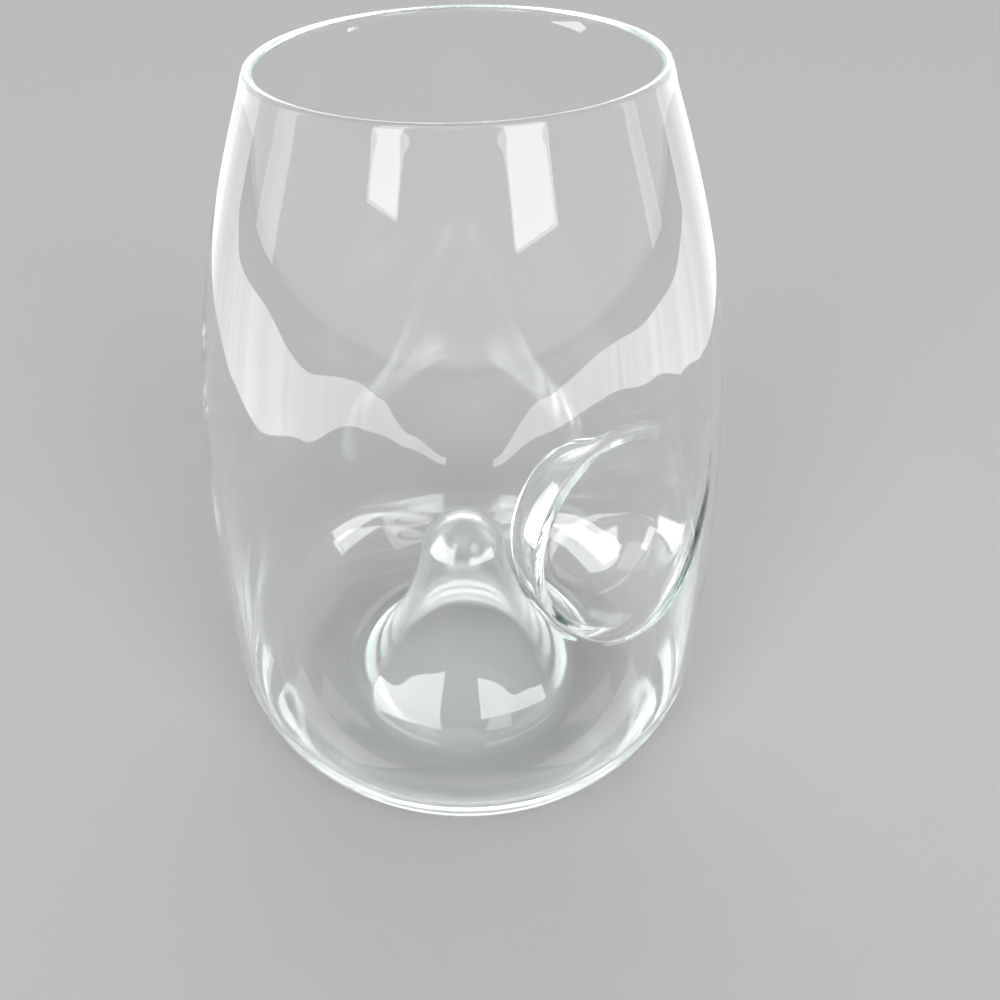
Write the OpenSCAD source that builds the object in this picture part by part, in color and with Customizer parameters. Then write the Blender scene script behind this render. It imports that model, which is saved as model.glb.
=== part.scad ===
// Stemless wine glass of clear blown glass, with a thumb dent in its side and a tall hollow punt.
// Lengths are millimetres and angles are degrees. The axis of the bowl is Z, and the standing
// ring rests on z = 0. The thumb dent is front right for someone who looks along +Y.
// The wall is a chain of tangent arcs. Each arc runs between two heights, and the lean of the wall
// at those heights, inwards as it rises, sets the radius of the arc.

/* [Bowl] */
// Height from the table to the top of the rim
glass_h = 120; // [114:0.5:128]
// Width of the belly at its widest, outside
belly_w = 87.4; // [82:0.2:94]
// Thickness of the wall, measured level
wall_t = 1.4; // [1.1:0.05:1.9]
// Lean of the wall at the rim
rim_lean = 22.6; // [21:0.1:25]
// Share of the height at the collar, where the mouth curve meets the shoulder curve
collar_share = 0.8733; // [0.835:0.0005:0.905]
// Lean of the wall at the collar
collar_lean = 19.3; // [17:0.1:20.5]
// Share of the height at the shoulder, where the shoulder curve meets the belly curve
shoulder_share = 0.5642; // [0.52:0.0005:0.615]
// Lean of the wall at the shoulder
shoulder_lean = 5.9; // [4:0.1:8]
// Height of the heel, where the belly curve meets the heel curve, as a share of the belly's width
heel_share = 0.2288; // [0.206:0.0002:0.263]
// Lean of the wall at the heel, less than nothing where the wall closes in below
heel_lean = -0.5; // [-2:0.1:1]

/* [Rim] */
// Width of the fire-polished bead on the rim beyond the thickness of the wall
bead_over = 0.1; // [0:0.02:0.6]
// Height of the polished rim zone
rim_h = 3; // [2:0.1:6]

/* [Base] */
// Thickness of the glass under the lowest ring of the floor
floor_t = 4.2; // [3.4:0.1:5.6]
// Depth ground off the foot to leave a flat standing ring
foot_grind = 0.05; // [0.02:0.01:0.2]
// Width of the level ridge between the heel curve and the hollow under the punt
ridge_w = 0.46; // [0.3:0.02:1.5]
// Share of the trough's radius where the foot ring ends and the punt starts
foot_share = 0.7; // [0.67:0.01:0.75]

/* [Punt] */
// Height of the top of the punt above the table
punt_h = 42; // [38:0.2:44]
// Width of the round knob on top of the punt, as a share of the belly's width
knob_share = 0.1785; // [0.16:0.0005:0.206]
// Thickness of the glass in the knob
knob_t = 1.8; // [1.3:0.05:2.4]
// Lean of the punt under its knob, outside, where the bell curve starts
neck_lean = 8; // [5:0.1:10]
// Lean of the hollow under the knob, beyond the lean outside
hollow_spread = 0.6; // [0:0.1:1.5]
// Lean of the punt where the bell curve meets the foot curve
bell_lean = 34; // [31:0.2:36]

/* [Thumb dent] */
// Direction of the dent round the axis, from +X towards +Y
dent_turn = -52.5; // [-70:0.5:-30]
// Share of the height at the middle of the dent
dent_share = 0.5525; // [0.5:0.0005:0.6]
// Slope of the dent's push below level
dent_pitch = 8; // [4:0.2:12]
// Width of the hollow of the dent, inside its lip
dent_w = 29; // [25:0.2:31]
// Height of the hollow of the dent, inside its lip
dent_h = 32.6; // [29:0.2:34]
// Depth of the dent below the wall
dent_d = 16.2; // [10:0.2:18]
// Radius of the dent's rolled lip
dent_lip = 3; // [2:0.1:3.6]
// Width of the plain wall kept round the dent's lip on average, in the round patch that carries it
patch_rest = 3.1; // [2.8:0.1:3.6]

/* [Hidden] */
tint = [0.80, 0.88, 0.86, 0.45];
thick_tint = [0.66, 0.80, 0.77, 0.55];
overrun = 1;
turn_steps = 120;
arc_steps = 360;
bead_steps = 32;
quarter = 90;
full_turn = 360;

// The four curves of the outer wall, each as centre radius, centre height and radius of the arc
collar_z = collar_share * glass_h;
shoulder_z = shoulder_share * glass_h;
heel_z = heel_share * belly_w;
belly_curve = (shoulder_z - heel_z) / (sin(shoulder_lean) - sin(heel_lean));
belly_arc = [belly_w / 2 - belly_curve, heel_z - belly_curve * sin(heel_lean), belly_curve];
shoulder_r = belly_arc[0] + belly_curve * cos(shoulder_lean);
shoulder_curve = (collar_z - shoulder_z) / (sin(collar_lean) - sin(shoulder_lean));
shoulder_arc = [shoulder_r - shoulder_curve * cos(shoulder_lean),
    shoulder_z - shoulder_curve * sin(shoulder_lean), shoulder_curve];
collar_r = shoulder_arc[0] + shoulder_curve * cos(collar_lean);
mouth_curve = (glass_h - collar_z) / (sin(rim_lean) - sin(collar_lean));
mouth_arc = [collar_r - mouth_curve * cos(collar_lean),
    collar_z - mouth_curve * sin(collar_lean), mouth_curve];
heel_r = belly_arc[0] + belly_curve * cos(heel_lean);
heel_curve = (heel_z + foot_grind) / (1 + sin(heel_lean));
heel_arc = [heel_r - heel_curve * cos(heel_lean), heel_z - heel_curve * sin(heel_lean), heel_curve];

// The floor inside the heel, down to the trough round the punt
floor_curve = (heel_z - floor_t) / (1 + sin(heel_lean));
trough_r = heel_r - wall_t - floor_curve * cos(heel_lean);
floor_arc = [trough_r, heel_z - floor_curve * sin(heel_lean), floor_curve];

// The punt: a round knob on a bell, whose foot curve is tangent to the floor. Each of its two skins
// is the radius of its dome, its lean under the dome, its bell arc and its foot arc.
knob_r = knob_share * belly_w / 2;
knob_z = punt_h - knob_r;
hollow_r = knob_r - knob_t;
foot_in_r = foot_share * trough_r;
mouth_r = heel_arc[0] - ridge_w;
hollow_lean = neck_lean + hollow_spread;
punt_top = punt_skin(knob_r, neck_lean, trough_r, floor_t);
punt_hollow = punt_skin(hollow_r, hollow_lean, mouth_r, -foot_grind);
neck_z = punt_top[2][1] - punt_top[2][2] * sin((neck_lean + bell_lean) / 2);

// The patch of wall that carries the dent
dent_z = dent_share * glass_h;
dent_mean_w = (dent_w + dent_h) / 2;
patch_r = dent_mean_w / 2 + dent_lip + patch_rest;
belly_top_z = dent_z + patch_r + overrun;
belly_foot_z = dent_z - patch_r - overrun;
dent_out = [cos(dent_pitch) * cos(dent_turn), cos(dent_pitch) * sin(dent_turn), sin(dent_pitch)];
dent_side = [-sin(dent_turn), cos(dent_turn), 0];
dent_up = cross(dent_out, dent_side);
dent_at = [wall_r(dent_z) * cos(dent_turn), wall_r(dent_z) * sin(dent_turn), dent_z];
seat_passes = 12;
rest_rows = 2;
lip_rows = 5;
bowl_rows = 9;
dent_steps = 60;
dent_rows = rest_rows + lip_rows + bowl_rows;

// One skin of the punt. The bell arc runs from the dome to bell_lean, and the foot arc from there
// to level at foot_r, foot_z. Together they take up the drop and the reach between both ends,
// which sets their two radii.
function punt_skin(dome_r, lean, foot_r, foot_z) =
    let (drop = knob_z + dome_r * sin(lean) - foot_z,
        reach = foot_r - dome_r * cos(lean),
        bell_drop = sin(bell_lean) - sin(lean),
        bell_reach = cos(lean) - cos(bell_lean),
        foot_drop = 1 - sin(bell_lean),
        foot_reach = cos(bell_lean),
        split = bell_drop * foot_reach - foot_drop * bell_reach,
        bell_curve = (drop * foot_reach - reach * foot_drop) / split,
        foot_curve = (reach * bell_drop - drop * bell_reach) / split,
        bell_mid = dome_r + bell_curve)
    [dome_r, lean, [bell_mid * cos(lean), knob_z + bell_mid * sin(lean), bell_curve],
        [foot_r, foot_z + foot_curve, foot_curve]];

// Outer radius of the wall at a height between the heel and the collar
function arc_r(arc, z) = arc[0] + sqrt(arc[2] * arc[2] - (z - arc[1]) * (z - arc[1]));
function wall_r(z) = arc_r(z > shoulder_z ? shoulder_arc : belly_arc, z);

// A point u across, v up and w out from the middle of the dent
function dent_point(u, v, w) = dent_at + u * dent_side + v * dent_up + w * dent_out;
function off_wall(p, depth) = norm([p[0], p[1]]) - wall_r(p[2]) + depth;
// How far out the wall's surface, sunk by depth, lies at u, v
function seat(u, v, depth, w = 0, passes = seat_passes) =
    passes == 0 ? w : seat(u, v, depth, w - off_wall(dent_point(u, v, w), depth), passes - 1);

// Each row of the dent is its half width, half height, drop below the wall and hold on the wall
function rest_row(i) =
    let (part = i / rest_rows)
    [patch_r + (dent_w / 2 + dent_lip - patch_r) * part,
        patch_r + (dent_h / 2 + dent_lip - patch_r) * part, 0, 1];
function lip_row(i) =
    let (turn = quarter * i / lip_rows, reach = dent_lip * (1 - sin(turn)))
    [dent_w / 2 + reach, dent_h / 2 + reach, dent_lip * (1 - cos(turn)), 1];
function bowl_row(i) =
    let (turn = quarter * i / bowl_rows)
    [dent_w / 2 * cos(turn), dent_h / 2 * cos(turn),
        dent_lip + (dent_d - dent_lip) * sin(turn), 1 - sin(turn)];
function dent_row(i) =
    i <= rest_rows ? rest_row(i)
    : i <= rest_rows + lip_rows ? lip_row(i - rest_rows)
    : bowl_row(i - rest_rows - lip_rows);
function skin_point(i, turn) =
    let (row = dent_row(i), u = row[0] * cos(turn), v = row[1] * sin(turn))
    dent_point(u, v, row[3] * seat(u, v, 0) - row[2]);
// The inner skin is the outer one moved along its normal, and the wall's inside at the patch's edge
function inner_point(i, turn) =
    i == 0 ? edge_point(turn)
    : let (half_step = full_turn / dent_steps / 2,
        down = skin_point(i + 1, turn) - skin_point(i - 1, turn),
        round = skin_point(i, turn + half_step) - skin_point(i, turn - half_step),
        out = cross(round, down))
    skin_point(i, turn) - wall_t * out / norm(out);
function edge_point(turn) =
    let (u = patch_r * cos(turn), v = patch_r * sin(turn))
    dent_point(u, v, seat(u, v, wall_t));

module band(from_z, to_z, from_r = 0) {
    translate([from_r, from_z]) square([belly_w, to_z - from_z]);
}

module disc(arc, sink = 0) {
    translate([arc[0] - sink, arc[1]]) circle(r = arc[2], $fn = arc_steps);
}

module wall_profile(arc, from_z, to_z) {
    intersection() {
        difference() {
            disc(arc);
            disc(arc, wall_t);
        }
        band(from_z, to_z);
    }
}

module turned() {
    rotate_extrude($fn = turn_steps) children();
}

// Everything between the axis and one skin of the punt
module punt_profile(skin, low_z) {
    foot = skin[3];
    dome_z = knob_z + skin[0] * sin(skin[1]);
    bell_z = foot[1] - foot[2] * sin(bell_lean);
    intersection() {
        translate([0, knob_z]) circle(r = skin[0], $fn = arc_steps);
        band(dome_z, glass_h);
    }
    difference() {
        translate([0, bell_z]) square([foot[0], dome_z - bell_z]);
        disc(skin[2]);
    }
    difference() {
        translate([0, low_z]) square([foot[0], bell_z - low_z]);
        disc(foot);
    }
}

module punt_zone(from_z, to_z, from_r, to_r) {
    difference() {
        intersection() {
            punt_profile(punt_top, 0);
            translate([from_r, from_z]) square([to_r - from_r, to_z - from_z]);
        }
        punt_profile(punt_hollow, -overrun);
    }
}

module dent_hole() {
    translate(dent_at) rotate([0, quarter - dent_pitch, dent_turn])
        cylinder(r = patch_r, h = belly_w / 2, center = true, $fn = dent_steps);
}

module rim_bead() {
    bead_w = wall_t + bead_over;
    bead_z = glass_h - bead_w / 2;
    color(thick_tint) turned() {
        wall_profile(mouth_arc, glass_h - rim_h, bead_z);
        translate([arc_r(mouth_arc, bead_z) - wall_t / 2, bead_z]) circle(d = bead_w, $fn = bead_steps);
    }
}

module mouth_wall() {
    color(tint) turned() wall_profile(mouth_arc, collar_z, glass_h - rim_h);
}

module shoulder_wall() {
    color(tint) turned() wall_profile(shoulder_arc, belly_top_z, collar_z);
}

module belly_wall() {
    color(tint) difference() {
        turned() {
            wall_profile(shoulder_arc, shoulder_z, belly_top_z);
            wall_profile(belly_arc, belly_foot_z, shoulder_z);
        }
        dent_hole();
    }
}

module thumb_dent() {
    turns = [for (j = [0 : dent_steps - 1]) full_turn * j / dent_steps];
    skins = dent_rows * dent_steps;
    outer = [for (i = [0 : dent_rows - 1]) for (turn = turns) skin_point(i, turn)];
    inner = [for (i = [0 : dent_rows - 1]) for (turn = turns) inner_point(i, turn)];
    tips = [dent_point(0, 0, -dent_d), dent_point(0, 0, -dent_d - wall_t)];
    function at(i, j, skin) = skin * skins + i * dent_steps + j % dent_steps;
    function tip(skin) = 2 * skins + skin;
    last = dent_rows - 1;
    outer_faces = [for (i = [0 : last - 1]) for (j = [0 : dent_steps - 1])
        each [[at(i, j, 0), at(i, j + 1, 0), at(i + 1, j + 1, 0)],
            [at(i, j, 0), at(i + 1, j + 1, 0), at(i + 1, j, 0)]]];
    inner_faces = [for (i = [0 : last - 1]) for (j = [0 : dent_steps - 1])
        each [[at(i, j, 1), at(i + 1, j + 1, 1), at(i, j + 1, 1)],
            [at(i, j, 1), at(i + 1, j, 1), at(i + 1, j + 1, 1)]]];
    cap_faces = [for (j = [0 : dent_steps - 1])
        each [[at(last, j, 0), at(last, j + 1, 0), tip(0)], [at(last, j, 1), tip(1), at(last, j + 1, 1)]]];
    edge_faces = [for (j = [0 : dent_steps - 1])
        each [[at(0, j, 0), at(0, j, 1), at(0, j + 1, 1)], [at(0, j, 0), at(0, j + 1, 1), at(0, j + 1, 0)]]];
    color(thick_tint) polyhedron(points = concat(outer, inner, tips),
        faces = concat(outer_faces, inner_faces, cap_faces, edge_faces), convexity = 4);
}

module lower_wall() {
    color(tint) turned() wall_profile(belly_arc, heel_z, belly_foot_z);
}

module heel() {
    color(thick_tint) turned() difference() {
        intersection() {
            disc(heel_arc);
            band(0, heel_z, trough_r);
        }
        disc(floor_arc);
    }
}

module foot_ring() {
    color(thick_tint) turned() intersection() {
        punt_zone(0, neck_z, foot_in_r, trough_r);
        union() {
            disc(heel_arc);
            square([heel_arc[0], heel_z]);
        }
    }
}

module punt_flare() {
    color(thick_tint) turned() punt_zone(0, neck_z, 0, foot_in_r);
}

module punt_neck() {
    color(tint) turned() punt_zone(neck_z, knob_z, 0, foot_in_r);
}

module punt_knob() {
    color(thick_tint) turned() punt_zone(knob_z, glass_h, 0, foot_in_r);
}

rim_bead();
mouth_wall();
shoulder_wall();
belly_wall();
thumb_dent();
lower_wall();
heel();
foot_ring();
punt_flare();
punt_neck();
punt_knob();
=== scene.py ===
"""Stemless wine glass of clear blown glass, with a thumb dent in its side and a tall hollow punt.

The glass is one seamless blown shell. Its outline is bent from arcs, spun round the axis, and the
dent is then pushed in. Lengths are metres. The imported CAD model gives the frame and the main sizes.
"""
from math import atan, atan2, cos, degrees, pi, radians, sin, sqrt

import bmesh
import bpy
import numpy as np
from mathutils import Matrix, Vector


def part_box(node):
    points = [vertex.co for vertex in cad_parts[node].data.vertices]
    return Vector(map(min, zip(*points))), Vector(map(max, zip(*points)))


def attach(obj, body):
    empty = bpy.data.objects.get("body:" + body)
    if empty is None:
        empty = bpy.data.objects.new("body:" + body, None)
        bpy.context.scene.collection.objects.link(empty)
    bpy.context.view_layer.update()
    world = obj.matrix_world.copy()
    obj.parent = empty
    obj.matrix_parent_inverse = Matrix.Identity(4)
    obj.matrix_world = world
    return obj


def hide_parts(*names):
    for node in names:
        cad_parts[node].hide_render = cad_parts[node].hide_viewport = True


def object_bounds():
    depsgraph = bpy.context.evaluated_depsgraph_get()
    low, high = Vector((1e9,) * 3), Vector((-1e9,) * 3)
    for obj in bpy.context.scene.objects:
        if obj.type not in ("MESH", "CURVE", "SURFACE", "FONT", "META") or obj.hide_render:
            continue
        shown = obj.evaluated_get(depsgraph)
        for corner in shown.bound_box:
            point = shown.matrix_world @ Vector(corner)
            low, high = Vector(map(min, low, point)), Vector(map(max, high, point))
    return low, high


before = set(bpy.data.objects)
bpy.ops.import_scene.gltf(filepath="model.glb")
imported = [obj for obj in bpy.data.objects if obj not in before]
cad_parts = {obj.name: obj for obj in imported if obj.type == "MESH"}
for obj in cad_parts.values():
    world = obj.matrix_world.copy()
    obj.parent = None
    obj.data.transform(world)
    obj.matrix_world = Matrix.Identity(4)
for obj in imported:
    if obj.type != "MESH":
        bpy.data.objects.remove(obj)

bl_info = {
    "name": "Stemless wine glass",
    "version": (1, 0, 0),
    "blender": (4, 5, 0),
    "location": "3D View > Sidebar > Wine glass",
    "description": "Blows a stemless wine glass with a thumb dent, and sets its studio",
    "category": "Add Mesh",
}

CAD_LOW, CAD_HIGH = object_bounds()
MM = 0.001
FULL_TURN = 2 * pi


def low(node):
    """The lowest corner of a CAD node"""
    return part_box(node)[0]


def high(node):
    """The highest corner of a CAD node"""
    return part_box(node)[1]


def smooth(part):
    """Eases a part from 0 to 1 so that it starts and ends level"""
    return part * part * (3 - 2 * part)


def length(name, description, default):
    return bpy.props.FloatProperty(
        name=name, description=description, default=default, unit="LENGTH", precision=5)


def angle(name, description, in_degrees):
    return bpy.props.FloatProperty(
        name=name, description=description, default=radians(in_degrees), subtype="ANGLE")


def share(name, description, default):
    return bpy.props.FloatProperty(
        name=name, description=description, default=default, min=0, max=1, precision=4)


def colour(name, description, default):
    return bpy.props.FloatVectorProperty(
        name=name, description=description, default=default, min=0, max=1, subtype="COLOR")


def number(name, description, default):
    return bpy.props.FloatProperty(name=name, description=description, default=default)


class WallSizes(bpy.types.PropertyGroup):
    """The bowl and its rim"""
    glass_height: length("Height", "From the table to the top of the rim", CAD_HIGH.z)
    belly_width: length("Belly width", "The bowl at its widest, outside", CAD_HIGH.x - CAD_LOW.x)
    wall_thickness: length("Wall", "Thickness of the wall, measured level", 1.4 * MM)
    rim_lean: angle("Rim lean", "Lean of the wall at the rim", 22.6)
    collar_height: length("Collar height", "Where the mouth curve meets the shoulder curve",
                          low("mouth_wall").z)
    collar_lean: angle("Collar lean", "Lean of the wall at the collar", 19.3)
    shoulder_share: share("Shoulder", "Share of the height where shoulder and belly meet", 0.5642)
    shoulder_lean: angle("Shoulder lean", "Lean of the wall at the shoulder", 5.9)
    heel_height: length("Heel height", "Where the belly curve meets the heel curve", high("heel").z)
    heel_lean: angle("Heel lean", "Lean of the wall at the heel", -0.5)
    bead_width: length("Bead", "Width of the fire-polished bead on the rim", 1.5 * MM)
    rim_height: length("Rim height", "Height of the polished zone of the rim",
                       CAD_HIGH.z - low("rim_bead").z)


class BaseSizes(bpy.types.PropertyGroup):
    """The foot, the floor and the punt"""
    floor_thickness: length("Floor", "Glass under the lowest ring of the floor", 4.2 * MM)
    foot_grind: length("Grind", "Depth ground off the foot to leave a flat ring", 0.05 * MM)
    ridge_width: length("Ridge", "Level ridge between the heel and the punt's hollow", 0.46 * MM)
    punt_height: length("Punt height", "Top of the punt above the table", high("punt_knob").z)
    knob_height: length("Knob height", "Middle of the round knob on the punt", low("punt_knob").z)
    knob_thickness: length("Knob wall", "Thickness of the glass in the knob", 1.8 * MM)
    neck_lean: angle("Neck lean", "Lean of the punt under its knob, outside", 8.0)
    hollow_lean: angle("Hollow lean", "Lean of the hollow under the knob", 8.6)
    bell_lean: angle("Bell lean", "Lean where the bell curve meets the foot curve", 34.0)


class DentSizes(bpy.types.PropertyGroup):
    """The thumb dent"""
    turn: angle("Direction", "Direction of the dent round the axis, from +X towards +Y", -52.5)
    height_share: share("Height", "Share of the glass's height at the middle of the dent", 0.5525)
    pitch: angle("Pitch", "Slope of the dent's push below level", 8.0)
    width: length("Width", "Width of the hollow inside its lip", 29 * MM)
    height: length("Height", "Height of the hollow inside its lip", 32.6 * MM)
    depth: length("Depth", "Depth of the hollow below the wall", 16.2 * MM)
    lip: length("Lip", "Radius of the rolled lip", 3.0 * MM)
    patch_radius: length("Patch", "Radius of the patch of wall that the dent disturbs", 21.5 * MM)
    sag: length("Sag", "How far the deepest point lies from the middle, away from the soft side",
                3.0 * MM)
    soft_turn: angle("Soft side", "Direction of the soft side of the lip, from the far side up", 48)
    soft_reach: angle("Soft reach", "Half width of the soft side", 34)
    soft_blend: angle("Soft blend", "Width over which the lip tightens", 50)
    soft_swell: share("Soft swell", "How much wider the lip rolls on the soft side", 0.9)
    soft_ease: share("Soft ease", "How much less steep the hollow is on the soft side", 0.21)


class GlassFinish(bpy.types.PropertyGroup):
    """The look of the glass"""
    clear_tint: colour("Surface tint", "Colour of the glass at its surface", (0.985, 0.995, 0.99))
    body_tint: colour("Body tint", "Colour that deep glass takes", (0.80, 0.90, 0.87))
    body_depth: number("Body depth", "How fast deep glass takes its colour, per metre", 7.0)
    bend: number("IOR", "How strongly the glass bends light", 1.5)


class StudioSetup(bpy.types.PropertyGroup):
    """The floor, the lamps and the camera"""
    floor_colour: colour("Floor", "Colour of the floor", (0.45, 0.45, 0.445))
    key_light: number("Key lamps", "Brightness of the two tall soft boxes behind the camera", 4.5)
    top_light: number("Top lamp", "Brightness of the soft box overhead", 1.4)
    drape_light: number("Drapes", "Brightness of the low curved panels that the wall mirrors", 5.5)
    strip_light: number("Strips", "Brightness of the tall thin panels beside the glass", 3.6)
    rim_light: number("Rim lamp", "Brightness of the wide soft box behind the glass", 1.9)
    screen_light: number("Screens", "Brightness of the panels that the glass mirrors inside", 14.0)
    room_light: number("Room", "Brightness of the room as it lights things", 0.66)
    backdrop_light: number("Backdrop", "Brightness of the room as the glass shows it", 0.95)
    camera_back: length("Camera back", "Distance of the camera in front of the axis", 130.9 * MM)
    camera_up: length("Camera height", "Height of the camera above the table", 153.44 * MM)
    camera_pitch: angle("Camera pitch", "Slope of the view below level", 39.443)
    camera_yaw: angle("Camera yaw", "Turn of the view to the right", -1.799)
    camera_roll: angle("Camera roll", "Roll of the view", -2.029)
    camera_lens: number("Lens", "Focal length for a 36 mm sensor, in mm", 34.2)
    camera_shift: number("Shift", "Sideways shift of the view", 0.0599)


# Nodes


class Wire:
    """A node socket that takes part in Python sums"""

    def __init__(self, tree, socket):
        self.tree = tree
        self.socket = socket

    def math(self, operation, *values):
        return self.tree.node("ShaderNodeMath", {"operation": operation}, dict(enumerate(values)))

    def __add__(self, other):
        return self.math("ADD", self, other)

    def __radd__(self, other):
        return self.math("ADD", other, self)

    def __sub__(self, other):
        return self.math("SUBTRACT", self, other)

    def __rsub__(self, other):
        return self.math("SUBTRACT", other, self)

    def __mul__(self, other):
        return self.math("MULTIPLY", self, other)

    def __rmul__(self, other):
        return self.math("MULTIPLY", other, self)


class Tree:
    """The node tree of a material or a world, emptied"""

    def __init__(self, owner):
        owner.use_nodes = True
        self.nodes = owner.node_tree.nodes
        self.links = owner.node_tree.links
        self.nodes.clear()

    def node(self, kind, settings=None, values=None, out=0):
        """Adds a node, with its settings first and then the values or links of its sockets"""
        made = self.nodes.new(kind)
        for name, value in (settings or {}).items():
            setattr(made, name, value)
        for name, value in (values or {}).items():
            if isinstance(value, Wire):
                self.links.new(value.socket, made.inputs[name])
            else:
                made.inputs[name].default_value = value
        return Wire(self, made.outputs[out])

    def show(self, kind, surface, volume=None):
        """Ends the tree in an output node"""
        out = self.nodes.new(kind)
        self.links.new(surface.socket, out.inputs["Surface"])
        if volume:
            self.links.new(volume.socket, out.inputs["Volume"])

    def clamped_ramp(self, wire, start, end):
        """0 where the wire is at start, 1 where it is at end, straight between and level beyond"""
        return self.node("ShaderNodeMapRange", {"clamp": True},
                         {0: wire, 1: start, 2: end, 3: 0.0, 4: 1.0})


# Marks the verts of the hollow under the punt, for its finish
PRESSED = "pressed"


def blown_glass(finish):
    """Clear glass with the faint waves of blowing, wiped smears and dust. The hollow under the punt
    was pressed by a tool, so it is less smooth than the blown skins"""
    material = bpy.data.materials.new("clear_blown_glass")
    tree = Tree(material)
    place = tree.node("ShaderNodeTexCoord", out="Object")
    waves = tree.node("ShaderNodeTexNoise", {}, {"Vector": place, "Scale": 38.0, "Detail": 1.0})
    smears = tree.node("ShaderNodeTexNoise", {}, {"Vector": place, "Scale": 90.0, "Detail": 5.0,
                                                  "Distortion": 0.8})
    film = tree.clamped_ramp(smears, 0.5, 0.75)
    cells = tree.node("ShaderNodeTexVoronoi", {"feature": "F1"}, {"Vector": place, "Scale": 260.0},
                      out="Distance")
    specks = tree.clamped_ramp(cells, 0.06, 0.03)
    pressed = tree.node("ShaderNodeAttribute", {"attribute_name": PRESSED}, out="Fac")
    ripples = tree.node("ShaderNodeTexNoise", {}, {"Vector": place, "Scale": 420.0, "Detail": 2.0})
    rough = 0.012 * film + 0.18 * specks + 0.17 * pressed
    height = waves + 0.4 * pressed * ripples
    bump = tree.node("ShaderNodeBump", {}, {
        "Strength": 0.35, "Distance": 0.00012, "Height": height})
    shell = tree.node("ShaderNodeBsdfPrincipled", {}, {
        "Base Color": (*finish.clear_tint, 1.0), "Roughness": rough, "IOR": finish.bend,
        "Transmission Weight": 1.0, "Normal": bump})
    body = tree.node("ShaderNodeVolumeAbsorption", {}, {
        "Color": (*finish.body_tint, 1.0), "Density": finish.body_depth})
    tree.show("ShaderNodeOutputMaterial", shell, body)
    return material


# The outline of the glass


class Arc:
    """An arc of the outline. A point on it is named by the lean of the outline there"""

    def __init__(self, centre_r, centre_z, radius):
        self.r = centre_r
        self.z = centre_z
        self.radius = radius

    def point(self, lean):
        return Vector((self.r + self.radius * cos(lean), 0, self.z + self.radius * sin(lean)))

    def wide(self, z):
        """The radius of the glass at a height"""
        return self.r + np.sqrt(self.radius**2 - (z - self.z)**2)

    def moved_in(self, thickness):
        return Arc(self.r - thickness, self.z, self.radius)


def rising_arc(foot_r, foot_z, foot_lean, top_z, top_lean):
    """The arc that leaves foot_r, foot_z at one lean and reaches top_z at the other"""
    radius = (top_z - foot_z) / (sin(top_lean) - sin(foot_lean))
    return Arc(foot_r - radius * cos(foot_lean), foot_z - radius * sin(foot_lean), radius)


def punt_arcs(dome, lean, bell_lean, foot_r, foot_z):
    """The bell arc under a dome, and the foot arc that carries it to level at foot_r, foot_z"""
    drop = dome.z + dome.radius * sin(lean) - foot_z
    reach = foot_r - dome.radius * cos(lean)
    bell_drop, bell_reach = sin(bell_lean) - sin(lean), cos(lean) - cos(bell_lean)
    foot_drop, foot_reach = 1 - sin(bell_lean), cos(bell_lean)
    split = bell_drop * foot_reach - foot_drop * bell_reach
    bell_curve = (drop * foot_reach - reach * foot_drop) / split
    foot_curve = (reach * bell_drop - drop * bell_reach) / split
    middle = dome.point(lean) + bell_curve * Vector((cos(lean), 0, sin(lean)))
    return Arc(middle.x, middle.z, bell_curve), Arc(foot_r, foot_z + foot_curve, foot_curve)


class Outline:
    """Every arc of the glass, from the sizes"""

    def __init__(self, wall, base):
        self.thickness = wall.wall_thickness
        self.shoulder_z = wall.shoulder_share * wall.glass_height
        self.collar_z = wall.collar_height
        belly_curve = ((self.shoulder_z - wall.heel_height)
                       / (sin(wall.shoulder_lean) - sin(wall.heel_lean)))
        heel_r = wall.belly_width / 2 - belly_curve * (1 - cos(wall.heel_lean))
        self.belly = rising_arc(heel_r, wall.heel_height, wall.heel_lean,
                                self.shoulder_z, wall.shoulder_lean)
        self.shoulder = rising_arc(self.belly.wide(self.shoulder_z), self.shoulder_z,
                                   wall.shoulder_lean, self.collar_z, wall.collar_lean)
        self.mouth = rising_arc(self.shoulder.wide(self.collar_z), self.collar_z,
                                wall.collar_lean, wall.glass_height, wall.rim_lean)
        heel_curve = (wall.heel_height + base.foot_grind) / (1 + sin(wall.heel_lean))
        self.heel = Arc(heel_r - heel_curve * cos(wall.heel_lean),
                        wall.heel_height - heel_curve * sin(wall.heel_lean), heel_curve)
        floor_curve = (wall.heel_height - base.floor_thickness) / (1 + sin(wall.heel_lean))
        trough_r = heel_r - self.thickness - floor_curve * cos(wall.heel_lean)
        self.floor = Arc(trough_r, wall.heel_height - floor_curve * sin(wall.heel_lean),
                         floor_curve)
        knob_r = base.punt_height - base.knob_height
        hollow_r = knob_r - base.knob_thickness
        self.knob = Arc(0, base.knob_height, knob_r)
        self.hollow = Arc(0, base.knob_height, hollow_r)
        self.bell, self.foot = punt_arcs(self.knob, base.neck_lean, base.bell_lean,
                                         trough_r, base.floor_thickness)
        self.under_bell, self.under_foot = punt_arcs(
            self.hollow, base.hollow_lean, base.bell_lean,
            self.heel.r - base.ridge_width, -base.foot_grind)

    def wall_r(self, z):
        """Outer radius of the wall at heights between the heel and the collar"""
        return np.where(z > self.shoulder_z, self.shoulder.wide(z), self.belly.wide(z))


def bend_on(bm, end, arc, start, finish, steps):
    """Carries the outline on from its end along an arc, from one lean to another"""
    end.co = arc.point(start)
    made = bmesh.ops.spin(bm, geom=[end], cent=(arc.r, 0, arc.z), axis=(0, 1, 0),
                          angle=start - finish, steps=steps, use_merge=False, use_duplicate=False)
    return made["geom_last"][0]


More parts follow.
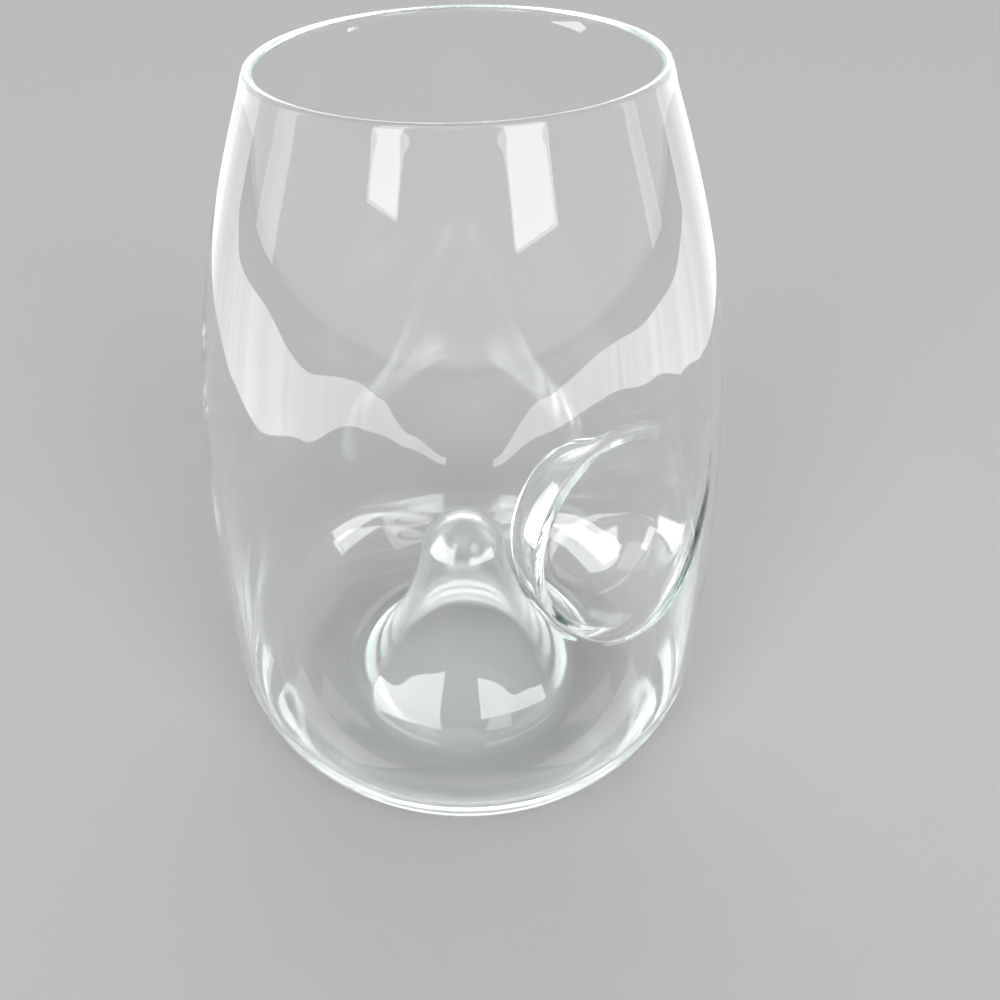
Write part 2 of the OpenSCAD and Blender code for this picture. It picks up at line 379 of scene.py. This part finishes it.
def draw_on(bm, end, points):
    """Carries the outline on from its end through a few points"""
    for point in points:
        made = bmesh.ops.extrude_vert_indiv(bm, verts=[end])
        end = made["verts"][0]
        end.co = point
    return end


def straight_on(bm, end, goal, steps):
    start = end.co.copy()
    return draw_on(bm, end, [start.lerp(goal, k / steps) for k in range(1, steps + 1)])


def lean_at(arc, z):
    """The lean of an arc at a height"""
    return atan((z - arc.z) / sqrt(arc.radius**2 - (z - arc.z)**2))


def wall_on(bm, end, outline, marks, thickness):
    """Carries the outline on along the wall through marks: each a height and its number of steps"""
    at = marks[0][0]
    for goal, steps in marks[1:]:
        middle = (at + goal) / 2
        arc = (outline.belly if middle < outline.shoulder_z
               else outline.shoulder if middle < outline.collar_z else outline.mouth)
        arc = arc.moved_in(thickness)
        end = bend_on(bm, end, arc, lean_at(arc, at), lean_at(arc, goal), steps)
        at = goal
    return end


# Steps along each part of the outline. The wall is finest across the dent, which reaches past both
# sides of the shoulder
STEPS_UP_WALL = {"to_dent": 8, "to_shoulder": 52, "past_dent": 50, "to_collar": 8, "to_rim": 5}
STEPS_OVER_PUNT = {"knob": 18, "bell": 20, "foot": 12, "floor": 18}
STEPS_UNDER_PUNT = {"heel": 20, "ring": 3, "foot": 8, "bell": 18, "hollow": 12}
STEPS_INTO_BEAD = 4
STEPS_ROUND_BEAD = 14


def draw_outline(bm, outline, wall, base, dent_zone):
    """The whole outline, from the top of the punt round the rim and back under the punt"""
    right = pi / 2
    rim_low = wall.glass_height - wall.rim_height
    foot, top = dent_zone
    over, under = STEPS_OVER_PUNT, STEPS_UNDER_PUNT
    marks = [(wall.heel_height, 0)] + list(zip(
        (foot, outline.shoulder_z, top, outline.collar_z, rim_low), STEPS_UP_WALL.values()))
    end = bm.verts.new(outline.knob.point(right))
    end = bend_on(bm, end, outline.knob, right, base.neck_lean, over["knob"])
    end = bend_on(bm, end, outline.bell, pi + base.neck_lean, pi + base.bell_lean, over["bell"])
    end = bend_on(bm, end, outline.foot, pi + base.bell_lean, 3 * right, over["foot"])
    end = bend_on(bm, end, outline.floor, -right, wall.heel_lean, over["floor"])
    end = wall_on(bm, end, outline, marks, outline.thickness)
    end = rim_on(bm, end, outline, wall, rim_low)
    # The same marks from the rim down, each with the steps that lead to it
    down = [(z, steps) for (z, _), (_, steps) in zip(marks[::-1], [(0, 0)] + marks[:0:-1])]
    end = wall_on(bm, end, outline, down, 0)
    ground = np.arcsin(outline.heel.z / outline.heel.radius)
    end = bend_on(bm, end, outline.heel, wall.heel_lean, -float(ground), under["heel"])
    inner = 3 * right - float(np.arccos(outline.under_foot.z / outline.under_foot.radius))
    end = straight_on(bm, end, outline.under_foot.point(inner), under["ring"])
    end = bend_on(bm, end, outline.under_foot, inner, pi + base.bell_lean, under["foot"])
    end = bend_on(bm, end, outline.under_bell, pi + base.bell_lean, pi + base.hollow_lean,
                  under["bell"])
    return bend_on(bm, end, outline.hollow, base.hollow_lean, right, under["hollow"])


def rim_on(bm, end, outline, wall, rim_low):
    """Carries the outline over the rim: the wall swells into a round fire-polished bead"""
    bead = wall.bead_width / 2
    bead_z = wall.glass_height - bead
    middle = outline.mouth.moved_in(outline.thickness / 2)
    start_lean, bead_lean = lean_at(middle, rim_low), lean_at(middle, bead_z)
    sides = []
    for side in (-1, 1):
        rows = []
        for k in range(1, STEPS_INTO_BEAD):
            part = k / STEPS_INTO_BEAD
            lean = start_lean + (bead_lean - start_lean) * part
            swell = smooth(part)
            half = outline.thickness / 2 * cos(lean) * (1 - swell) + bead * swell
            rows.append(middle.point(lean) + side * half * Vector((cos(lean), 0, sin(lean))))
        sides.append(rows)
    centre = middle.point(bead_lean)
    round_rim = Arc(centre.x, centre.z, bead)
    end = draw_on(bm, end, sides[0] + [round_rim.point(pi + bead_lean)])
    end = bend_on(bm, end, round_rim, pi + bead_lean, bead_lean, STEPS_ROUND_BEAD)
    last = outline.mouth.point(lean_at(outline.mouth, rim_low))
    return draw_on(bm, end, sides[1][::-1] + [last])


# The thumb dent


class Dent:
    """The round hollow that is pushed into the wall. Its lip is rolled tight round the foot and the
    near side, and eases into the wall at the upper far side"""
    # Shares of the patch's radius inside which the lip and then the hollow begin
    REST_SHARE = 0.80
    LIP_SHARE = 0.58
    # Share of the patch's radius over which the wall's facing gives way to the dent's
    FACING_SHARE = 0.12
    # Depth under the outer skin, in wall thicknesses, that still counts as wall
    WALL_REACH = 1.5
    SEAT_PASSES = 12

    def __init__(self, sizes, outline, glass_height):
        self.sizes = sizes
        self.outline = outline
        z = sizes.height_share * glass_height
        r = float(outline.wall_r(z))
        turn, pitch = sizes.turn, sizes.pitch
        self.at = np.array((r * cos(turn), r * sin(turn), z))
        self.out = np.array((cos(pitch) * cos(turn), cos(pitch) * sin(turn), sin(pitch)))
        self.side = np.array((-sin(turn), cos(turn), 0.0))
        self.up = np.cross(self.out, self.side)
        self.zone = (z - sizes.patch_radius - MM, z + sizes.patch_radius + MM)

    def seat(self, u, v):
        """How far out the wall's surface lies at u across and v up"""
        w = np.zeros_like(u)
        for _ in range(self.SEAT_PASSES):
            p = self.point(u, v, w)
            w = w - (np.hypot(p[..., 0], p[..., 1]) - self.outline.wall_r(p[..., 2]))
        return w

    def point(self, u, v, w):
        return (self.at + u[..., None] * self.side + v[..., None] * self.up
                + w[..., None] * self.out)

    def pushed(self, turn, z):
        """Points of the outer wall at turns round the axis and heights, after the push, and how
        near each is to the middle of the dent, from 1 at the edge of the patch to 0"""
        s = self.sizes
        r = self.outline.wall_r(z)
        wall = np.stack((r * np.cos(turn), r * np.sin(turn), z), axis=-1)
        offset = wall - self.at
        u, v, w = offset @ self.side, offset @ self.up, offset @ self.out
        near = np.hypot(u, v) / s.patch_radius
        near = np.where(w < -s.patch_radius, 1.0, np.minimum(near, 1.0))
        around = np.arctan2(v, u)
        (half_u, half_v), drop, hold = self.profile(around, near)
        sag = s.sag * (1 - np.minimum(half_u / (s.width / 2 + s.lip), 1))
        u2 = half_u * np.cos(around) - sag * cos(s.soft_turn)
        v2 = half_v * np.sin(around) - sag * sin(s.soft_turn)
        sunk = self.point(u2, v2, hold * self.seat(u2, v2) - drop)
        return np.where((near < 1)[..., None], sunk, wall), near

    def profile(self, around, near):
        """The dent's section in each direction. It gives the reach across and up, the drop below
        the wall, and how far the wall's own curve still holds"""
        s = self.sizes
        quarter = pi / 2
        turned = np.abs((around - s.soft_turn + pi) % FULL_TURN - pi)
        soft = smooth(np.clip((s.soft_reach + s.soft_blend - turned) / s.soft_blend, 0, 1))
        lip = s.lip * (1 + s.soft_swell * soft)
        lean = quarter * (1 - s.soft_ease * soft)
        # The lip leans from 0 to lean, and the hollow goes on from there as part of an ellipse
        mouth = (s.width + s.height) / 4 + s.lip - lip * np.sin(lean)
        below_lip = s.depth - lip * (1 - np.cos(lean))
        flat = below_lip * np.cos(lean) / np.sin(lean)
        start = np.arcsin(flat / (mouth - flat))
        rest = np.clip((1 - near) / (1 - self.REST_SHARE), 0, 1)
        lip_share = self.REST_SHARE - self.LIP_SHARE
        roll = lean * np.clip((self.REST_SHARE - near) / lip_share, 0, 1)
        sink = start + (quarter - start) * np.clip(1 - near / self.LIP_SHARE, 0, 1)
        inner = np.cos(sink) / np.cos(start)
        in_hollow = near < self.LIP_SHARE
        reaches = []
        for half in (s.width / 2, s.height / 2):
            edge = half + s.lip
            plain = s.patch_radius + (edge - s.patch_radius) * rest
            on_lip = np.where(near > self.REST_SHARE, plain, edge - lip * np.sin(roll))
            reaches.append(np.where(in_hollow, (edge - lip * np.sin(lean)) * inner, on_lip))
        hollow_drop = s.depth - below_lip * (1 - np.sin(sink)) / (1 - np.sin(start))
        drop = np.where(in_hollow, hollow_drop, lip * (1 - np.cos(roll)))
        return reaches, drop, 1 - (1 - inner**2)**2

    def normal(self, turn, z):
        """Which way the pushed outer wall faces"""
        step_turn, step_z = 1e-4, 1e-6
        across = self.pushed(turn + step_turn, z)[0] - self.pushed(turn - step_turn, z)[0]
        upward = self.pushed(turn, z + step_z)[0] - self.pushed(turn, z - step_z)[0]
        face = np.cross(across, upward)
        return face / np.linalg.norm(face, axis=-1, keepdims=True)

    def press(self, verts, thickness):
        """Moves the verts of both skins of the wall that lie in the patch. The inner skin keeps
        one wall thickness behind the outer one"""
        co = np.array([v.co for v in verts])
        turn, z, r = np.arctan2(co[:, 1], co[:, 0]), co[:, 2], np.hypot(co[:, 0], co[:, 1])
        inside = (z > self.zone[0]) & (z < self.zone[1])
        pick = np.flatnonzero(inside)
        turn, z, r = turn[pick], z[pick], r[pick]
        depth = self.outline.wall_r(z) - r
        in_wall = depth < thickness * self.WALL_REACH
        pick, turn, z, depth = pick[in_wall], turn[in_wall], z[in_wall], depth[in_wall]
        outer, near = self.pushed(turn, z)
        near_edge = np.clip((1 - near) / self.FACING_SHARE, 0, 1)[:, None]
        level = np.stack((np.cos(turn), np.sin(turn), np.zeros_like(turn)), axis=-1)
        face = level * (1 - near_edge) + self.normal(turn, z) * near_edge
        face /= np.linalg.norm(face, axis=-1, keepdims=True)
        placed = outer - face * (thickness * np.round(depth / thickness))[:, None]
        for index, goal, share_near in zip(pick, placed, near):
            if share_near < 1:
                verts[index].co = goal


def crowd_columns(verts, turn, dense_half, dense_share):
    """Turns the columns of verts closer together round one direction, so that the dent is fine"""
    fade = radians(2)
    samples = 4001
    grid = np.linspace(-pi, pi, samples)
    weight = 1 / (1 + np.exp((np.abs(grid) - dense_half) / fade))
    outer_share = (1 - dense_share) / (1 - dense_half / pi) / (dense_share / (dense_half / pi))
    density = weight + (1 - weight) * outer_share
    total = np.concatenate(((0,), np.cumsum((density[1:] + density[:-1]) / 2)))
    total = total / total[-1] * FULL_TURN - pi
    co = np.array([vert.co for vert in verts])
    at = (np.arctan2(co[:, 1], co[:, 0]) - turn + pi) % FULL_TURN - pi
    moved = np.interp(at, total, grid) + turn
    r = np.hypot(co[:, 0], co[:, 1])
    for vert, x, y in zip(verts, r * np.cos(moved), r * np.sin(moved)):
        vert.co.x, vert.co.y = x, y


def mark_pressed(bm, reach):
    """Marks the verts of the hollow under the punt, which face down within reach of the axis"""
    bm.normal_update()
    mark = bm.verts.layers.float.new(PRESSED)
    for vert in bm.verts:
        vert[mark] = float(vert.normal.z < 0 and vert.co.xy.length < reach)


def make_piece(name, bm, material):
    mesh = bpy.data.meshes.new(name)
    bm.to_mesh(mesh)
    bm.free()
    mesh.shade_smooth()
    mesh.materials.append(material)
    piece = bpy.data.objects.new(name, mesh)
    bpy.context.scene.collection.objects.link(piece)
    return piece


class BlowGlass(bpy.types.Operator):
    """Blow the bowl with its punt, and push in the thumb dent"""
    bl_idname = "wine_glass.blow"
    bl_label = "Blow the glass"

    SPIN_STEPS = 240
    DENSE_HALF = radians(31)
    DENSE_SHARE = 0.55
    MERGE = 1e-7

    def execute(self, context):
        scene = context.scene
        wall, base = scene.glass_wall, scene.glass_base
        outline = Outline(wall, base)
        dent = Dent(scene.glass_dent, outline, wall.glass_height)
        bm = bmesh.new()
        draw_outline(bm, outline, wall, base, dent.zone)
        bmesh.ops.spin(bm, geom=bm.verts[:] + bm.edges[:], cent=(0, 0, 0), axis=(0, 0, 1),
                       angle=FULL_TURN, steps=self.SPIN_STEPS, use_merge=True, use_duplicate=False)
        bmesh.ops.remove_doubles(bm, verts=bm.verts, dist=self.MERGE)
        bmesh.ops.recalc_face_normals(bm, faces=bm.faces)
        mark_pressed(bm, outline.heel.r - base.ridge_width / 2)
        crowd_columns(bm.verts, scene.glass_dent.turn, self.DENSE_HALF, self.DENSE_SHARE)
        bm.verts.ensure_lookup_table()
        dent.press(bm.verts, outline.thickness)
        glass = make_piece("blown_glass", bm, blown_glass(scene.glass_finish))
        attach(glass, "root")
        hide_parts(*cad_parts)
        return {"FINISHED"}


# The studio

AIM = Vector((0, 0, 0.08))
FLOOR_HALF = 15.0
FLOOR_GAP = 0.02 * MM
# Paths of light through and along the wall are long
BOUNCES = 128
# Each lamp: direction from the glass, elevation, distance, width, height and its setting
LAMPS = {
    "left_key": (-36.5, 33, 3.0, 0.78, 1.73, "key_light"),
    "right_key": (35.5, 32, 3.0, 1.1, 1.96, "key_light"),
    "top_box": (-20, 58, 2.8, 2.1, 1.63, "top_light"),
    "rim_box": (180, 24, 3.0, 3.4, 1.3, "rim_light"),
}


def floor_material(tone):
    material = bpy.data.materials.new("studio_floor")
    tree = Tree(material)
    place = tree.node("ShaderNodeTexCoord", out="Object")
    grain = tree.node("ShaderNodeTexNoise", {}, {"Vector": place, "Scale": 900.0, "Detail": 3.0})
    bump = tree.node("ShaderNodeBump", {}, {"Strength": 0.15, "Distance": 0.0001, "Height": grain})
    paint = tree.node("ShaderNodeBsdfPrincipled", {}, {
        "Base Color": (*tone, 1.0), "Roughness": 1.0, "Specular IOR Level": 0.0, "Normal": bump})
    tree.show("ShaderNodeOutputMaterial", paint)
    return material


def drape_material(radiance):
    """Cloth lit from behind, with upright folds, dimmer beside and behind the glass"""
    material = bpy.data.materials.new("lit_drape")
    tree = Tree(material)
    place = tree.node("ShaderNodeTexCoord", out="Object")
    flat = tree.node("ShaderNodeVectorMath", {"operation": "MULTIPLY"},
                     {0: place, 1: (1.0, 1.0, 0.05)})
    folds = tree.node("ShaderNodeTexNoise", {}, {"Vector": flat, "Scale": 30.0, "Detail": 2.0})
    depth = tree.node("ShaderNodeSeparateXYZ", {}, {0: place}, out="Y")
    behind = tree.clamped_ramp(depth, -0.05, 0.13)
    strength = radiance * (0.6 + 0.8 * folds) * (1.0 - 0.68 * behind)
    light = tree.node("ShaderNodeEmission", {}, {"Strength": strength})
    tree.show("ShaderNodeOutputMaterial", light)
    return material


def screen_material(radiance):
    """A panel that is seen only in what the inside of the bowl mirrors, after more than two skins.
    So it lays no veil on the near wall and doesn't show through the glass. Rays that were mirrored
    twice miss it too, because they would hang a bright ghost of the punt in the upper wall"""
    material = bpy.data.materials.new("screen")
    tree = Tree(material)
    skins = tree.node("ShaderNodeLightPath", out="Transmission Depth")
    mirrors = tree.node("ShaderNodeLightPath", out="Ray Depth") - skins
    past_two = (mirrors - 2.0) * (mirrors - 2.0)
    odd_one = tree.clamped_ramp(mirrors, 0.5, 1.0) * tree.clamped_ramp(past_two, 0.5, 1.0)
    seen = tree.clamped_ramp(skins, 2.5, 3.0) * odd_one
    light = tree.node("ShaderNodeEmission", {}, {"Strength": radiance})
    clear = tree.node("ShaderNodeBsdfTransparent")
    tree.show("ShaderNodeOutputMaterial", tree.node("ShaderNodeMixShader", {},
                                                    {0: seen, 1: clear, 2: light}))
    return material


def soft_box(name, place, width, height, radiance):
    """An area lamp of a given brightness that faces the middle of the glass"""
    lamp = bpy.data.lights.new(name, "AREA")
    lamp.shape = "RECTANGLE"
    lamp.size, lamp.size_y = width, height
    lamp.energy = radiance * pi * width * height
    holder = bpy.data.objects.new(name, lamp)
    holder.location = place
    holder.rotation_euler = (AIM - place).to_track_quat("-Z", "Y").to_euler()
    holder.visible_camera = False
    bpy.context.scene.collection.objects.link(holder)


def from_compass(azimuth, elevation, distance, height):
    """A place seen from a height on the axis: azimuth 0 is towards the camera, 90 to the right"""
    a, e = radians(azimuth), radians(elevation)
    return Vector((sin(a) * cos(e), -cos(a) * cos(e), sin(e))) * distance + Vector((0, 0, height))


PANEL_STEPS = 96
# Each panel's path: direction from the glass, distance, and the heights of its foot and its top
DRAPES = {
    "left_drape": ((-160, 0.33, 0, 0.25), (-118, 0.30, 0, 0.25), (-113, 0.29, 0, 0.08),
                   (-105, 0.27, 0, 0.07), (-84, 0.245, 0, 0.077), (-62, 0.30, 0, 0.056),
                   (-40, 0.465, 0, 0.055), (-31, 0.465, 0, 0.045), (-20, 0.42, 0, 0.017),
                   (-6, 0.36, 0, 0.008)),
    "right_drape": ((11, 0.345, 0, 0.008), (30, 0.45, 0, 0.043), (57, 0.52, 0, 0.058),
                    (80, 0.40, 0, 0.056), (97, 0.30, 0, 0.064), (112, 0.26, 0, 0.08),
                    (118, 0.25, 0, 0.22), (150, 0.24, 0, 0.22)),
}
STRIPS = {
    "left_strip": ((-99, 0.33, 0.1, 0.33), (-85, 0.33, 0.1, 0.33)),
    "right_strip": ((88, 0.33, 0.1, 0.33), (97, 0.33, 0.1, 0.33)),
}
SCREENS = {
    "left_screen": ((-98, 0.12, 0.001, 0.12), (-26, 0.12, 0.018, 0.11)),
    "right_screen": ((14, 0.12, 0.022, 0.06), (45, 0.12, 0.02, 0.056), (82, 0.12, 0.006, 0.06)),
}


def eased(at, places, values):
    """A smooth curve through values, level at each place"""
    k = np.clip(np.searchsorted(places, at) - 1, 0, len(places) - 2)
    part = (at - places[k]) / (places[k + 1] - places[k])
    return values[k] + (values[k + 1] - values[k]) * smooth(part)


def hang_panel(name, path, material, hidden_from):
    """A glowing upright panel along a path round the glass. It lights no floor and casts no shadow,
    and it shows only in what the glass mirrors or only through the glass"""
    azimuths, reaches, feet, tops = np.array(path).T
    bm = bmesh.new()
    turns = np.linspace(azimuths[0], azimuths[-1], PANEL_STEPS + 1)
    foot = [from_compass(turn, 0, eased(turn, azimuths, reaches), eased(turn, azimuths, feet))
            for turn in turns]
    draw_on(bm, bm.verts.new(foot[0]), foot[1:])
    raised = bmesh.ops.extrude_edge_only(bm, edges=bm.edges[:])
    for vert in raised["geom"]:
        if isinstance(vert, bmesh.types.BMVert):
            vert.co.z = eased(degrees(atan2(vert.co.x, -vert.co.y)), azimuths, tops)
    panel = make_piece(name, bm, material)
    for sight in ("visible_camera", "visible_diffuse", "visible_shadow", hidden_from):
        setattr(panel, sight, False)


class SetStage(bpy.types.Operator):
    """Set the pale floor, the soft boxes, the room and the camera"""
    bl_idname = "wine_glass.set_stage"
    bl_label = "Set the studio"

    def execute(self, context):
        scene = context.scene
        setup = scene.glass_studio
        bm = bmesh.new()
        bmesh.ops.create_grid(bm, x_segments=8, y_segments=8, size=FLOOR_HALF)
        floor = make_piece("studio_floor", bm, floor_material(setup.floor_colour))
        floor.location.z = -FLOOR_GAP
        for name, (azimuth, elevation, distance, width, height, level) in LAMPS.items():
            place = from_compass(azimuth, elevation, distance, AIM.z)
            soft_box(name, place, width, height, getattr(setup, level))
        for name, path in DRAPES.items():
            hang_panel(name, path, drape_material(setup.drape_light), "visible_transmission")
        for name, path in STRIPS.items():
            hang_panel(name, path, drape_material(setup.strip_light), "visible_transmission")
        for name, path in SCREENS.items():
            hang_panel(name, path, screen_material(setup.screen_light), "visible_glossy")
        self.light_room(scene, setup)
        self.place_camera(scene, setup)
        scene.view_settings.view_transform = "Standard"
        scene.cycles.max_bounces = BOUNCES
        scene.cycles.glossy_bounces = BOUNCES
        scene.cycles.transmission_bounces = BOUNCES
        return {"FINISHED"}

    def light_room(self, scene, setup):
        room = bpy.data.worlds.new("studio_room")
        scene.world = room
        tree = Tree(room)
        mirrored = tree.node("ShaderNodeLightPath", out="Is Glossy Ray")
        through = tree.node("ShaderNodeLightPath", out="Is Transmission Ray")
        shown = tree.clamped_ramp(mirrored + through, 0.0, 1.0)
        level = setup.room_light + shown * (setup.backdrop_light - setup.room_light)
        air = tree.node("ShaderNodeBackground", {}, {"Color": (1, 1, 1, 1), "Strength": level})
        tree.show("ShaderNodeOutputWorld", air)

    def place_camera(self, scene, setup):
        camera = bpy.data.cameras.new("camera")
        camera.sensor_width = 36
        camera.lens = setup.camera_lens
        camera.shift_x = setup.camera_shift
        camera.clip_start, camera.clip_end = 0.005, 20
        holder = bpy.data.objects.new("camera", camera)
        scene.collection.objects.link(holder)
        pitch, yaw, roll = setup.camera_pitch, setup.camera_yaw, setup.camera_roll
        ahead = Vector((sin(yaw) * cos(pitch), cos(yaw) * cos(pitch), -sin(pitch)))
        right = Vector((cos(yaw), -sin(yaw), 0))
        up = right.cross(ahead)
        turned_right = right * cos(roll) + up * sin(roll)
        turned_up = -right * sin(roll) + up * cos(roll)
        turn = Matrix((turned_right, turned_up, -ahead)).transposed().to_4x4()
        holder.matrix_world = Matrix.Translation((0, -setup.camera_back, setup.camera_up)) @ turn
        scene.camera = holder


class GlassPanel(bpy.types.Panel):
    """Lists the steps that make the glass and its studio"""
    bl_idname = "VIEW3D_PT_wine_glass"
    bl_label = "Wine glass"
    bl_space_type = "VIEW_3D"
    bl_region_type = "UI"
    bl_category = "Wine glass"

    def draw(self, context):
        for step in STEPS:
            self.layout.operator(step.bl_idname)


GROUPS = {"glass_wall": WallSizes, "glass_base": BaseSizes, "glass_dent": DentSizes,
          "glass_finish": GlassFinish, "glass_studio": StudioSetup}
STEPS = (BlowGlass, SetStage)


def register():
    for name, group in GROUPS.items():
        bpy.utils.register_class(group)
        setattr(bpy.types.Scene, name, bpy.props.PointerProperty(type=group))
    for kind in (*STEPS, GlassPanel):
        bpy.utils.register_class(kind)


def unregister():
    for kind in (GlassPanel, *reversed(STEPS)):
        bpy.utils.unregister_class(kind)
    for name, group in GROUPS.items():
        delattr(bpy.types.Scene, name)
        bpy.utils.unregister_class(group)


def main():
    register()
    bpy.ops.wine_glass.blow()
    bpy.ops.wine_glass.set_stage()


if __name__ == "__main__":
    main()
